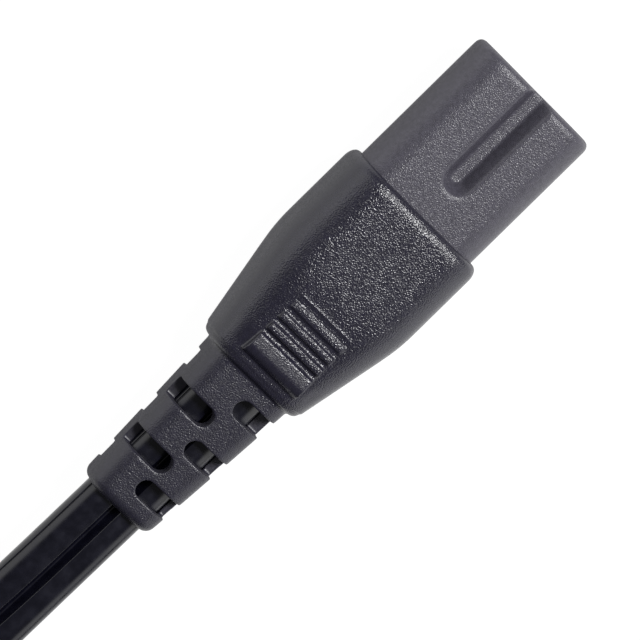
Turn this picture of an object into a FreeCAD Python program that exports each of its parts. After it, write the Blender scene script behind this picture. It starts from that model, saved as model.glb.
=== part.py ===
import FreeCAD, Part
import math
import os

# Figure eight power connector on a flat twin cord, lying on its flat underside.
# +X runs along the connector towards its nose, +Z is up, sizes are in millimetres.

# Connector from the tip of its nose to the end of its strain relief
connector_length = 57.6

# Pins of the appliance inlet that the connector takes
pin_spacing = 8.6
pin_diameter = 2.38
pin_play = 0.03

# Nose, the front of the contact carrier
nose_length = 16.3
nose_height = 6.9
nose_wall = 1.7
nose_front_wall = 2.2
nose_front_round = 0.5
pin_hole_play = 0.3
groove_width = 3.2
groove_floor = 1.0
groove_depth = 1.2
groove_length = 12.9

# Rear of the contact carrier, inside the overmould
carrier_embed = 5.6
carrier_lock_start = 1.5
carrier_lock_width = 1.6
carrier_lock_depth = 0.6
carrier_pocket_play = 0.15

# Body of the overmould
body_length = 23.0
body_width = 17.0
body_thickness = 10.6
body_corner = 4.2
body_straight = 10.7
body_rear_width = 12.75
body_rear_thickness = 8.5
body_rear_corner = 3.5
body_edge_round = 0.8
body_knee_soft = 0.8

# Ridged grip pads, one on the top and one underneath
pad_front = 13.9
pad_length = 8.2
pad_front_width = 6.8
pad_rear_width = 7.5
pad_lip = 0.5
pad_roll_length = 1.8
ridge_count = 4
ridge_pitch = 1.51
ridge_groove_radius = 0.36
ridge_groove_depth = 0.6
pad_root = 1.5

# Slotted strain relief, with as many slots as its length has room for
relief_root_width = 10.3
relief_root_thickness = 7.2
relief_root_corner = 2.4
relief_end_width = 8.6
relief_end_thickness = 6.2
relief_end_corner = 2.2
relief_end_round = 1.1
slot_width = 1.85
slot_pitch = 3.05
slot_first = 2.85
slot_end_land = 2.3
slot_floor = 0.5
slot_inner_first = 0.3
slot_inner_step = 0.25

# Flat twin cord
cord_width = 7.2
cord_thickness = 3.6
cord_groove_width = 1.3
cord_groove_depth = 0.9
conductor_radius = 0.6
core_skin_gap = 0.05

# Rolled sheet contacts
contact_sheet = 0.38
contact_sleeve_length = 11.0
contact_neck_length = 1.8
contact_wire_crimp_length = 3.2
contact_insulation_crimp_length = 2.6
contact_slit = 0.45
contact_tongue_top = -0.3
contact_front_play = 0.2
core_in_crimp = 1.9
conductor_in_core = 4.4
core_split_length = 11.0
core_straight = 0.6

# Hank of the put-away cord, an oval of turns that stand on edge
hank_inner_radius = 21.6
hank_columns = 3
hank_layers = 2
hank_column_pitch = 3.7
hank_straight = 70.0
hank_near_centre = -82.0
hank_play = 0.2

# How the flat cord is laid: tilt of its wide side, and where along the lead and tail it turns
on_edge = 90.0
lead_twist_start = 0.5
lead_twist_end = 0.98
tail_twist_start = 0.6
tail_twist_end = 0.95
cord_sample = 5.0

# Strap round one side of the hank
tie_thickness = 0.8
tie_width = 12.0
tie_play = 0.3
tie_corner = 2.0

# Two blade plug at the far end
plug_front_width = 20.4
plug_front_thickness = 12.6
plug_front_corner = 3.6
plug_rear_width = 12.5
plug_rear_thickness = 9.4
plug_rear_corner = 3.4
plug_body_length = 24.0
plug_edge_round = 1.0
plug_relief_length = 13.0
plug_relief_root_width = 9.6
plug_relief_root_thickness = 6.6
plug_relief_end_width = 8.6
plug_relief_end_thickness = 5.6
plug_relief_corner = 2.2
blade_spacing = 12.7
blade_width = 6.3
blade_thickness = 1.5
blade_length = 16.0
blade_root = 9.0
blade_tip_chamfer = 0.5
blade_hole_radius = 1.6
blade_hole_from_face = 11.9
bridge_width = 17.2
bridge_height = 8.8
bridge_corner = 1.6
bridge_length = 5.0

# Sizes that follow from the driving dimensions
relief_length = connector_length - nose_length - body_length
slot_count = 1 + int((relief_length - slot_first - slot_end_land) / slot_pitch)
tip_x = connector_length / 2
shoulder_x = tip_x - nose_length
body_rear_x = shoulder_x - body_length
relief_end_x = body_rear_x - relief_length
axis_z = body_thickness / 2
lobe_radius = nose_height / 2
core_offset = (cord_width - cord_thickness) / 2
core_radius = cord_thickness / 2 - core_skin_gap
sleeve_radius = pin_diameter / 2 + pin_play
overlap = 1.0

X = FreeCAD.Vector(1, 0, 0)
Y = FreeCAD.Vector(0, 1, 0)
Z = FreeCAD.Vector(0, 0, 1)


def point(x, y, z):
    return FreeCAD.Vector(x, y, z)


def line(start, end):
    return Part.LineSegment(start, end).toShape()


def rounded_section(x, width, height, corner, tilt=0.0, z=0.0):
    """Closed wire across the X axis, a rectangle with round corners, turned by tilt degrees."""
    half_width = width / 2
    half_height = height / 2
    bow = corner * (1 - math.sqrt(0.5))
    edges = []
    for side_y, side_z in ((1, 1), (-1, 1), (-1, -1), (1, -1)):
        upright = point(0, side_y * half_width, side_z * (half_height - corner))
        middle = point(0, side_y * (half_width - bow), side_z * (half_height - bow))
        level = point(0, side_y * (half_width - corner), side_z * half_height)
        ends = (upright, level) if side_y * side_z > 0 else (level, upright)
        if edges and (edges[-1][1] - ends[0]).Length > 1e-6:
            edges.append((edges[-1][1], ends[0], None))
        edges.append((ends[0], ends[1], middle))
    if (edges[-1][1] - edges[0][0]).Length > 1e-6:
        edges.append((edges[-1][1], edges[0][0], None))
    shapes = [Part.Arc(a, m, b).toShape() if m else line(a, b) for a, b, m in edges]
    wire = Part.Wire(shapes)
    wire.rotate(point(0, 0, 0), X, tilt)
    wire.translate(point(x, 0, z))
    return wire


def obround_section(x, width, height, tilt=0.0, z=0.0):
    """Closed wire across the X axis, with half-round sides."""
    return rounded_section(x, width, height, height / 2, tilt, z)


def prism(wire, length):
    """Solid from a closed wire across the X axis, running towards -X."""
    return Part.Face(wire).extrude(point(-length, 0, 0))


def rod(x, y, radius, length):
    """Round bar along X, running from x towards -X."""
    return Part.makeCylinder(radius, length, point(x, y, 0), -X)


def edges_across(shape, x):
    """The edges of a shape that lie in the plane across the axis at x."""
    box_of = [(edge, edge.BoundBox) for edge in shape.Edges]
    return [e for e, box in box_of if abs(box.XMin - x) < 0.01 and abs(box.XMax - x) < 0.01]


def upside_down(shape):
    """The same shape turned half way round the connector's axis."""
    turned = shape.copy()
    turned.rotate(point(0, 0, 0), X, 180)
    return turned


def slab(outline, low, high, across):
    """Solid from a closed line of corners, extruded along one axis from low to high."""
    wire = Part.makePolygon(outline + outline[:1])
    wire.translate(across * low)
    return Part.Face(wire).extrude(across * (high - low))


# Contact carrier, whose front is the nose
def nose_groove():
    """Blind groove in the top of the nose, open at the tip, with a round inner end."""
    half_top = groove_width / 2
    half_floor = groove_floor / 2
    top = lobe_radius
    floor = lobe_radius - groove_depth
    inner_x = tip_x - groove_length + half_top
    lip = half_top + (half_top - half_floor) / groove_depth * overlap
    corners = [
        point(0, -lip, top + overlap), point(0, lip, top + overlap),
        point(0, half_floor, floor), point(0, -half_floor, floor),
    ]
    channel = slab(corners, inner_x, tip_x + overlap, X)
    end = Part.makeCone(half_floor, lip, groove_depth + overlap, point(inner_x, 0, floor))
    return channel.fuse(end)


def make_contact_carrier():
    width = pin_spacing + nose_height
    carrier = prism(obround_section(tip_x, width, nose_height), nose_length + carrier_embed)
    carrier = carrier.makeFillet(nose_front_round, edges_across(carrier, tip_x))
    groove = nose_groove()
    carrier = carrier.cut(groove).cut(upside_down(groove))
    lock_x = shoulder_x - carrier_lock_start
    neck_width = width - 2 * carrier_lock_depth
    neck_height = nose_height - 2 * carrier_lock_depth
    ring = prism(obround_section(lock_x, width + overlap, nose_height + overlap), carrier_lock_width)
    neck = prism(obround_section(lock_x, neck_width, neck_height), carrier_lock_width)
    carrier = carrier.cut(ring.cut(neck))
    cavity_radius = lobe_radius - nose_wall
    pin_hole_radius = pin_diameter / 2 + pin_hole_play
    pocket_radius = core_radius + contact_sheet + carrier_pocket_play
    cavity_x = tip_x - nose_front_wall
    pocket_x = insulation_crimp_x() + contact_neck_length
    rear_x = shoulder_x - carrier_embed
    for side in (1, -1):
        y = side * pin_spacing / 2
        hole = rod(tip_x + overlap, y, pin_hole_radius, nose_front_wall + 2 * overlap)
        cavity = rod(cavity_x, y, cavity_radius, cavity_x - rear_x + overlap)
        pocket = rod(pocket_x, y, pocket_radius, pocket_x - rear_x + overlap)
        carrier = carrier.cut(hole).cut(cavity).cut(pocket)
    return carrier


# Socket contacts, each rolled from one sheet
def sleeve_front_x():
    return tip_x - nose_front_wall - contact_front_play


def wire_crimp_x():
    return sleeve_front_x() - contact_sleeve_length - contact_neck_length


def insulation_crimp_x():
    return wire_crimp_x() - contact_wire_crimp_length - contact_neck_length


def crimp_end_x():
    return insulation_crimp_x() - contact_insulation_crimp_length


def core_front_x():
    return crimp_end_x() + core_in_crimp


def split_x():
    return crimp_end_x() - core_straight - core_split_length


def rolled_contact(stations, window_spans, slit_end):
    """Wall of sheet revolved round X, open above its necks and slit along its sleeve."""
    inner = [point(x, 0, -radius) for x, radius in stations]
    outer = [point(x, 0, -radius - contact_sheet) for x, radius in reversed(stations)]
    profile = Part.makePolygon(inner + outer + inner[:1])
    contact = Part.Face(profile).revolve(point(0, 0, 0), X, 360)
    reach = core_radius + contact_sheet + overlap
    for start, end in window_spans:
        corners = [
            point(start, 0, contact_tongue_top), point(end, 0, contact_tongue_top),
            point(end, 0, reach), point(start, 0, reach),
        ]
        contact = contact.cut(slab(corners, -reach, reach, Y))
    slit = Part.makeBox(stations[0][0] - slit_end + overlap, contact_slit, reach)
    slit.translate(point(slit_end, -contact_slit / 2, 0))
    return contact.cut(slit)


def make_socket_contact(side):
    front = sleeve_front_x()
    sleeve_end = front - contact_sleeve_length
    wire_start = wire_crimp_x()
    wire_end = wire_start - contact_wire_crimp_length
    skin_start = insulation_crimp_x()
    skin_end = crimp_end_x()
    stations = [
        (front, sleeve_radius), (sleeve_end, sleeve_radius),
        (wire_start, conductor_radius), (wire_end, conductor_radius),
        (skin_start, core_radius), (skin_end, core_radius),
    ]
    contact = rolled_contact(stations, [(wire_start, sleeve_end), (skin_start, wire_end)], sleeve_end)
    contact.translate(point(0, side * pin_spacing / 2, 0))
    return contact


def make_conductor(side):
    start = wire_crimp_x()
    length = start - core_front_x() + conductor_in_core
    return rod(start, side * pin_spacing / 2, conductor_radius, length)


# End of the flat twin cord, split into its two cores inside the body
def twin_profile(start, length):
    """Flat cord along X, with a groove above and below between its two cores."""
    cord = prism(obround_section(start, cord_width, cord_thickness), length)
    half_mouth = cord_groove_width / 2
    top = cord_thickness / 2
    corners = [
        point(0, -half_mouth, top), point(0, -half_mouth, top + overlap), point(0, half_mouth, top + overlap),
        point(0, half_mouth, top), point(0, 0, top - cord_groove_depth),
    ]
    groove = slab(corners, start - length - overlap, start + overlap, X)
    return cord.cut(groove).cut(upside_down(groove))


def split_core(side):
    """Insulated core from its crimp along X, then sideways in an S of two arcs to the twin cord."""
    start = point(core_front_x(), side * pin_spacing / 2, 0)
    first = point(split_x() + core_split_length, side * pin_spacing / 2, 0)
    last = point(split_x(), side * core_offset, 0)
    middle = (first + last) / 2
    arcs = [arc_leaving_along_x(first, middle), arc_leaving_along_x(last, middle)]
    spine = Part.Wire(Part.__sortEdges__([line(start, first)] + arcs))
    circle = Part.Wire([Part.Circle(start, X, core_radius).toShape()])
    return spine.makePipeShell([circle], True, False)


def arc_leaving_along_x(start, end):
    """Arc from start, where it runs along X, to end."""
    run = end.x - start.x
    shift = end.y - start.y
    radius = (run * run + shift * shift) / (2 * shift)
    half_turn = math.asin(run / radius) / 2
    middle = point(start.x + radius * math.sin(half_turn), start.y + radius * (1 - math.cos(half_turn)), 0)
    return Part.Arc(start, middle, end).toShape()


def make_cord_end():
    cord = twin_profile(split_x(), split_x() - relief_end_x)
    for side in (1, -1):
        cord = cord.fuse(split_core(side)).cut(make_conductor(side))
    return cord


# Overmould: body, grip pads and slotted strain relief in one moulding
def make_body():
    """Parallel at the front, then tapered to the rear, with a soft knee between."""
    knee_x = shoulder_x - body_straight
    share = body_knee_soft / (body_length - body_straight)
    after_width = body_width + (body_rear_width - body_width) * share
    after_thickness = body_thickness + (body_rear_thickness - body_thickness) * share
    after_corner = body_corner + (body_rear_corner - body_corner) * share
    sections = [
        rounded_section(shoulder_x, body_width, body_thickness, body_corner),
        rounded_section(knee_x + body_knee_soft, body_width, body_thickness, body_corner),
        rounded_section(knee_x - body_knee_soft, after_width, after_thickness, after_corner),
        rounded_section(body_rear_x, body_rear_width, body_rear_thickness, body_rear_corner),
    ]
    body = Part.makeLoft(sections, True, True)
    ends = edges_across(body, shoulder_x) + edges_across(body, body_rear_x)
    return body.makeFillet(body_edge_round, ends)


def make_grip_pad():
    """Ridged pad, level with the front of the body while the body falls away behind it."""
    front_x = shoulder_x - pad_front
    rear_x = front_x - pad_length
    top = body_thickness / 2
    root = body_rear_thickness / 2 - pad_root
    plan = [
        point(front_x, pad_front_width / 2, 0), point(rear_x, pad_rear_width / 2, 0),
        point(rear_x, -pad_rear_width / 2, 0), point(front_x, -pad_front_width / 2, 0),
    ]
    pad = slab(plan, root, top, Z)
    rear_top = body_rear_thickness / 2
    roll_x = rear_x + pad_roll_length
    drop = top - rear_top
    roll_radius = (pad_roll_length ** 2 + drop ** 2) / (2 * drop)
    roll = Part.makeCylinder(roll_radius, body_width, point(roll_x, -body_width / 2, top - roll_radius), Y)
    behind = Part.makeBox(pad_roll_length + overlap, body_width, drop + overlap)
    behind.translate(point(rear_x - overlap, -body_width / 2, rear_top))
    pad = pad.cut(behind.cut(roll))
    for index in range(ridge_count):
        groove_x = front_x - pad_lip - index * ridge_pitch
        groove_z = top - ridge_groove_depth + ridge_groove_radius
        start = point(groove_x, -body_width / 2, groove_z)
        pad = pad.cut(Part.makeCylinder(ridge_groove_radius, body_width, start, Y))
        above = Part.makeBox(2 * ridge_groove_radius, body_width, ridge_groove_depth)
        above.translate(start - X * ridge_groove_radius)
        pad = pad.cut(above)
    return pad


def make_relief():
    inside = relief_end_x + relief_length + overlap
    taper = (relief_root_width - relief_end_width) / relief_length
    thickness_taper = (relief_root_thickness - relief_end_thickness) / relief_length
    root_width = relief_root_width + taper * overlap
    root_thickness = relief_root_thickness + thickness_taper * overlap
    sections = [
        rounded_section(inside, root_width, root_thickness, relief_root_corner),
        rounded_section(relief_end_x, relief_end_width, relief_end_thickness, relief_end_corner),
    ]
    relief = Part.makeLoft(sections, True, True)
    return relief.makeFillet(relief_end_round, edges_across(relief, relief_end_x))


def make_slot(centre_x, side, inner_end):
    """Slot from one side of the relief to about its middle, open above, with a round inner end."""
    radius = slot_width / 2
    reach = relief_root_width
    inner_y = inner_end + radius
    box = Part.makeBox(slot_width, reach - inner_y, relief_root_thickness)
    box.translate(point(centre_x - radius, inner_y, slot_floor))
    end = Part.makeCylinder(radius, relief_root_thickness, point(centre_x, inner_y, slot_floor))
    slot = box.fuse(end)
    if side < 0:
        slot = slot.mirror(point(0, 0, 0), Y)
    return slot


def make_overmould(inner_pieces):
    pad = make_grip_pad()
    overmould = make_body().fuse(make_relief())
    overmould = overmould.fuse(pad).fuse(upside_down(pad))
    for index in range(slot_count):
        side = -1 if index % 2 == 0 else 1
        slot_x = body_rear_x - slot_first - index * slot_pitch
        slot = make_slot(slot_x, side, slot_inner_first - index * slot_inner_step)
        overmould = overmould.cut(slot).cut(upside_down(slot))
    for piece in inner_pieces:
        overmould = overmould.cut(piece)
    carrier_block = prism(obround_section(shoulder_x, pin_spacing + nose_height, nose_height), carrier_lock_start)
    return overmould.cut(carrier_block).removeSplitter()


# Route of the cord that lies free, point by point
hank_bottom = tie_thickness
low_turn_z = hank_bottom + cord_width / 2
high_turn_z = low_turn_z + cord_width
hank_outer_radius = hank_inner_radius + (hank_columns - 1) * hank_column_pitch
hank_centre_y = -hank_outer_radius
hank_far_centre = hank_near_centre - hank_straight

plug_axis_z = plug_front_thickness / 2

lead_points = [
    point(relief_end_x, 0, axis_z),
    point(-41.2, 0, axis_z),
    point(-54.2, 0, low_turn_z),
    point(-66.5, 0, low_turn_z),
]

tail_points = [
    point(-164.3, -57.0, high_turn_z),
    point(-150.0, -62.6, high_turn_z - 0.4),
    point(-127.0, -63.6, 8.4),
    point(-107.0, -64.1, 5.2),
    point(-93.0, -65.3, 4.6),
    point(-84.2, -65.4, 5.4),
    point(-76.9, -64.6, plug_axis_z),
    point(-70.0, -63.0, plug_axis_z),
]


def rounded_route(points, label):
    """Wire of straight runs joined by tangent arcs, each as large as its two runs allow."""
    edges = []
    here = points[0]
    for before, corner, after in zip(points, points[1:], points[2:]):
        back = before - corner
        ahead = after - corner
        half_turn = (math.pi - back.getAngle(ahead)) / 2
        reach = 0.45 * min(back.Length, ahead.Length)
        radius = reach / math.tan(half_turn)
        print("%s arc radius %.1f mm" % (label, radius))
        back.normalize()
        ahead.normalize()
        start = corner + back * reach
        end = corner + ahead * reach
        inward = back + ahead
        inward.normalize()
        middle = corner + inward * (radius / math.cos(half_turn) - radius)
        edges.append(line(here, start))
        edges.append(Part.Arc(start, middle, end).toShape())
        here = end
    edges.append(line(here, points[-1]))
    return Part.Wire(edges)


def cord_along(wire, start_tilt, end_tilt, twist_start, twist_end):
    """Flat cord that follows a wire and turns about its own line between two shares of its length."""
    places = wire.discretize(Distance=cord_sample)
    last = len(places) - 1
    sections = []
    for index, place in enumerate(places):
        run = places[min(index + 1, last)] - places[max(index - 1, 0)]
        share = (index / last - twist_start) / (twist_end - twist_start)
        tilt = start_tilt + (end_tilt - start_tilt) * min(max(share, 0.0), 1.0)
        section = obround_section(0, cord_width, cord_thickness, tilt)
        section.rotate(point(0, 0, 0), Y, -math.degrees(math.atan2(run.z, math.hypot(run.x, run.y))))
        section.rotate(point(0, 0, 0), Z, math.degrees(math.atan2(run.y, run.x)))
        section.translate(place)
        sections.append(section)
    return Part.makeLoft(sections, True, True)


def report_volume(label, cord, wire):
    section_area = Part.Face(obround_section(0, cord_width, cord_thickness)).Area
    print("%s volume %.0f, section by length %.0f" % (label, cord.Volume, section_area * wire.Length))


def make_cord_lead():
    """From the strain relief, lying flat, then turned on edge where it comes to the hank."""
    wire = rounded_route(lead_points, "lead")
    lead = cord_along(wire, 0, on_edge, lead_twist_start, lead_twist_end)
    report_volume("lead", lead, wire)
    return lead


def make_cord_tail(hank):
    """Down the side of the hank on edge, then turned flat where it enters the plug."""
    wire = rounded_route(tail_points, "tail")
    tail = cord_along(wire, on_edge, 0, tail_twist_start, tail_twist_end)
    report_volume("tail", tail, wire)
    return tail.cut(hank)


def oval(radius):
    """Closed wire round the hank, two straight sides joined by half circles."""
    near = point(hank_near_centre, hank_centre_y, 0)
    far = point(hank_far_centre, hank_centre_y, 0)
    side = Y * radius
    cap = X * radius
    edges = [
        line(near + side, far + side),
        Part.Arc(far + side, far - cap, far - side).toShape(),
        line(far - side, near - side),
        Part.Arc(near - side, near + cap, near + side).toShape(),
    ]
    return Part.Wire(edges)


def make_cord_hank():
    """Outer shape of all the turns, with the start of the first turn that the lead meets."""
    half = cord_thickness / 2 + hank_play
    height = Z * (hank_layers * cord_width)
    turns = Part.Face(oval(hank_outer_radius + half)).extrude(height)
    turns = turns.cut(Part.Face(oval(hank_inner_radius - half)).extrude(height))
    turns.translate(Z * hank_bottom)
    lead_in_x = lead_points[-1].x
    section = obround_section(lead_in_x, cord_width, cord_thickness, on_edge, low_turn_z)
    return turns.fuse(prism(section, lead_in_x - hank_near_centre)).removeSplitter()


def make_hank_tie():
    """Strap round the side of the hank that lies in line with the connector."""
    bundle_width = (hank_columns - 1) * hank_column_pitch + cord_thickness + 2 * hank_play
    inner_width = bundle_width + 2 * tie_play
    inner_height = hank_layers * cord_width + tie_play
    outer_width = inner_width + 2 * tie_thickness
    outer_height = inner_height + 2 * tie_thickness
    x = (hank_near_centre + hank_far_centre + tie_width) / 2
    outer = prism(rounded_section(x, outer_width, outer_height, tie_corner), tie_width)
    inner = Part.makeBox(tie_width, inner_width, inner_height)
    inner.translate(point(x - tie_width, -inner_width / 2, -inner_height / 2))
    tie = outer.cut(inner)
    bundle_y = -(hank_columns - 1) * hank_column_pitch / 2
    tie.translate(point(0, bundle_y, outer_height / 2))
    return tie


# Plug at the far end, made along its own axis and then laid at the end of the cord
def lay_plug_piece(shape):
    laid = shape.copy()
    last_run = tail_points[-1] - tail_points[-2]
    laid.rotate(point(0, 0, 0), Z, math.degrees(math.atan2(last_run.y, last_run.x)))
    laid.translate(tail_points[-1])
    return laid


def make_plug_blade(side):
    face_x = plug_relief_length + plug_body_length
    length = blade_root + blade_length
    blade = Part.makeBox(length, blade_thickness, blade_width)
    blade.translate(point(face_x - blade_root, -blade_thickness / 2, -blade_width / 2))
    tip_edges = edges_across(blade, face_x + blade_length)
    blade = blade.makeChamfer(blade_tip_chamfer, tip_edges)
    hole_x = face_x + blade_hole_from_face
    blade = blade.cut(Part.makeCylinder(blade_hole_radius, overlap * 4, point(hole_x, -overlap * 2, 0), Y))
    blade.translate(Y * (side * blade_spacing / 2))
    return blade


def make_plug_bridge(blades):
    face_x = plug_relief_length + plug_body_length
    bridge = prism(rounded_section(face_x, bridge_width, bridge_height, bridge_corner), bridge_length)
    for blade in blades:
        bridge = bridge.cut(blade)
    return bridge


def make_plug_overmould(inner_pieces):
    face_x = plug_relief_length + plug_body_length
    sections = [
        rounded_section(face_x, plug_front_width, plug_front_thickness, plug_front_corner),
        rounded_section(plug_relief_length, plug_rear_width, plug_rear_thickness, plug_rear_corner),
    ]
    body = Part.makeLoft(sections, True, True)
    body = body.makeFillet(plug_edge_round, edges_across(body, face_x))
    root_width = plug_relief_root_width
    root_thickness = plug_relief_root_thickness
    relief_sections = [
        rounded_section(plug_relief_length + overlap, root_width, root_thickness, plug_relief_corner),
        rounded_section(0, plug_relief_end_width, plug_relief_end_thickness, plug_relief_corner),
    ]
    overmould = body.fuse(Part.makeLoft(relief_sections, True, True))
    for piece in inner_pieces:
        overmould = overmould.cut(piece)
    return overmould.removeSplitter()


def save(name, shape):
    shape.exportStep("parts/%s.step" % name)
    print(name, "solids", len(shape.Solids), "valid", shape.isValid(), "volume %.1f" % shape.Volume)


def save_raised(name, shape):
    """Save a piece that was made about the connector's axis, at the height where it lies."""
    raised = shape.copy()
    raised.translate(Z * axis_z)
    save(name, raised)


def main():
    os.makedirs("parts", exist_ok=True)
    sides = (("left", 1), ("right", -1))

    carrier = make_contact_carrier()
    contacts = {name: make_socket_contact(side) for name, side in sides}
    conductors = {name: make_conductor(side) for name, side in sides}
    cord_end = make_cord_end()
    inner_pieces = [carrier, cord_end] + list(contacts.values()) + list(conductors.values())
    save_raised("contact_carrier", carrier)
    for name, side in sides:
        save_raised("socket_contact_" + name, contacts[name])
        save_raised("conductor_" + name, conductors[name])
    save_raised("cord_end", cord_end)
    save_raised("connector_overmould", make_overmould(inner_pieces))

    hank = make_cord_hank()
    save("cord_lead", make_cord_lead())
    save("cord_hank", hank)
    save("cord_tail", make_cord_tail(hank))
    save("hank_tie", make_hank_tie())

    blades = {name: make_plug_blade(side) for name, side in sides}
    bridge = make_plug_bridge(blades.values())
    save("plug_bridge", lay_plug_piece(bridge))
    for name, side in sides:
        save("plug_blade_" + name, lay_plug_piece(blades[name]))
    save("plug_overmould", lay_plug_piece(make_plug_overmould([bridge] + list(blades.values()))))


main()
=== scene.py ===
"""Figure eight power connector on its flat twin cord, dressed over the fixed frame of its solids."""

import math

import bmesh
import bpy
from mathutils import Matrix, Vector


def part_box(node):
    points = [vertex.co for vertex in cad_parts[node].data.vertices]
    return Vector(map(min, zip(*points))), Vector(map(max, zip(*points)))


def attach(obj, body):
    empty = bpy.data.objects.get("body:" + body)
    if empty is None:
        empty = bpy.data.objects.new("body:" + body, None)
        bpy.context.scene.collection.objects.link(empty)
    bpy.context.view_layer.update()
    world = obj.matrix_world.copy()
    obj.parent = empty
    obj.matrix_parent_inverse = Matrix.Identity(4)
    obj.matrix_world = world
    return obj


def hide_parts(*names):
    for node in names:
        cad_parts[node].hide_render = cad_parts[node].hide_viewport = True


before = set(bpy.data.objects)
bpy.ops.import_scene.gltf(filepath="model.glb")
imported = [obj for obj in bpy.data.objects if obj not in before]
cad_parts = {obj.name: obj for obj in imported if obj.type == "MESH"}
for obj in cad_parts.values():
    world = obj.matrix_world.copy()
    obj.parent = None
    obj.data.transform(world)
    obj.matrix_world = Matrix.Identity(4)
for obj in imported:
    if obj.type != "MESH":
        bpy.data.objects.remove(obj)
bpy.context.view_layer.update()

bl_info = {
    "name": "Figure eight power connector",
    "version": (1, 0, 0),
    "blender": (4, 5, 0),
    "location": "View3D > Sidebar > Connector",
    "description": "Builds a moulded figure eight connector with its cord, tie, plug and studio stage",
    "category": "Object",
}

BODY = "root"
NOSE_LOW, NOSE_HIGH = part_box("contact_carrier")
MOULD_LOW, MOULD_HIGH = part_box("connector_overmould")
TIE_LOW, TIE_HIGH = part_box("hank_tie")

NOSE_SIZE = NOSE_HIGH - NOSE_LOW
MOULD_SIZE = MOULD_HIGH - MOULD_LOW
TIP_X = NOSE_HIGH.x
RELIEF_END_X = MOULD_LOW.x
SHOULDER_X = MOULD_HIGH.x
CARRIER_REAR_X = NOSE_LOW.x
AXIS_Z = (MOULD_LOW.z + MOULD_HIGH.z) / 2


def size(name, description, default):
    """A length that a user may change."""
    return bpy.props.FloatProperty(
        name=name, description=description, default=default, unit="LENGTH", precision=5)


def section(name, description, default):
    """Width, thickness and corner radius of a section that a user may change."""
    return bpy.props.FloatVectorProperty(
        name=name, description=description, default=default, unit="LENGTH", size=3, precision=5)


def shade(name, description, default):
    """A colour that a user may change."""
    return bpy.props.FloatVectorProperty(
        name=name, description=description, default=default, subtype="COLOR", size=3, min=0.0, max=1.0)


def number(name, description, default):
    """A plain factor that a user may change."""
    return bpy.props.FloatProperty(name=name, description=description, default=default)


def turn(name, description, degrees):
    """An angle that a user may change."""
    return bpy.props.FloatProperty(
        name=name, description=description, default=math.radians(degrees), subtype="ANGLE")


class NoseSizes(bpy.types.PropertyGroup):
    """Sizes of the contact carrier, whose front is the nose."""
    width: size("Width", "Across both lobes", NOSE_SIZE.y)
    height: size("Height", "Thickness of the nose", NOSE_SIZE.z)
    front_round: size("Front round", "Radius of the front edge", 0.00075)
    front_reach: size("Front reach", "How far back the round of the front edge starts", 0.0008)
    front_wall: size("Front wall", "Depth of the pin holes", 0.0022)
    pin_spacing: size("Pin spacing", "Between the two pin holes", 0.0086)
    hole_radius: size("Hole radius", "Radius of a pin hole", 0.00149)
    cavity_radius: size("Cavity radius", "Radius of the space round a contact", 0.00175)
    groove_width: size("Groove width", "Width of the groove at its lips", 0.0034)
    groove_floor: size("Groove floor", "Width of the groove's floor", 0.0013)
    groove_depth: size("Groove depth", "Depth of the groove", 0.0017)
    groove_length: size("Groove length", "From the tip to the round inner end", 0.0129)
    lip_width: size("Lip width", "How far the soft lip of the groove reaches over the flat", 0.00015)
    lip_depth: size("Lip depth", "How deep the soft lip of the groove goes", 0.0002)
    lock_start: size("Lock start", "From the shoulder to the lock groove", 0.0015)
    lock_width: size("Lock width", "Width of the lock groove", 0.0016)
    lock_depth: size("Lock depth", "Depth of the lock groove", 0.0006)
    crimp_radius: size("Crimp pocket", "Radius of the pocket round a crimp", 0.00228)
    crimp_front: size("Crimp front", "Where the pocket round a crimp starts", 0.0104)
    crimp_rear: size("Crimp rear", "Where a crimp ends behind the carrier", 0.006)


class GripSizes(bpy.types.PropertyGroup):
    """Sizes of the overmould: body, grip pads and strain relief. A section is width, thickness and corner."""
    front: section("Front", "Section of the body's front", (*MOULD_SIZE.yz, 0.0042))
    rear: section("Rear", "Section of the body's rear", (0.0125, 0.0085, 0.0035))
    relief_root: section("Relief root", "Section of the relief at the body", (0.0102, 0.0072, 0.0023))
    relief_end: section("Relief end", "Section of the relief at the cord", (0.0086, 0.0062, 0.0023))
    length: size("Length", "From the shoulder to the body's rear", 0.023)
    straight: size("Straight", "From the shoulder to the knee of the sides", 0.0105)
    top_straight: size("Top straight", "From the shoulder to where the top starts to fall", 0.0125)
    edge_round: size("Edge round", "Radius of the front and rear edges", 0.0008)
    shoulder_reach: size("Shoulder reach", "How far back the round of the front edge starts", 0.0013)
    pad_front: size("Pad front", "From the shoulder to the pad", 0.01345)
    pad_length: size("Pad length", "Length of the grip pad", 0.00795)
    pad_front_width: size("Pad front width", "Width of the pad's front", 0.0068)
    pad_rear_width: size("Pad rear width", "Width of the pad's rear", 0.0075)
    pad_lip: size("Pad lip", "From the pad's front to its first groove", 0.0005)
    hump_rise: size("Hump rise", "How much the pad's last hump rises to its rear", 0.00014)
    pad_roll: size("Pad roll", "Length of the round fall at the pad's rear", 0.0012)
    ridge_pitch: size("Ridge pitch", "From one groove between ridges to the next", 0.00151)
    ridge_radius: size("Ridge groove", "Radius of a groove between ridges", 0.00036)
    ridge_depth: size("Ridge depth", "Depth of a groove between ridges", 0.00052)
    relief_end_round: size("Relief end round", "Radius of the relief's last edge", 0.0011)
    relief_lean: size("Relief lean", "How far the relief's end leans to the left", 0.00014)
    slot_width: size("Slot width", "Width of a slot", 0.0021)
    slot_pitch: size("Slot pitch", "From one slot to the next", 0.00305)
    slot_first: size("First slot", "From the body's rear to the first slot", 0.002725)
    slot_floor: size("Slot floor", "Height of a slot's floor over the axis", 0.0005)
    slot_inner: size("Slot inner end", "From the axis to the first slot's round end", 0.0003)
    slot_step: size("Slot step", "How much further each next slot reaches in", 0.00025)
    voxel: size("Grid", "Size of the grid that blends the moulding", 0.00012)


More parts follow.
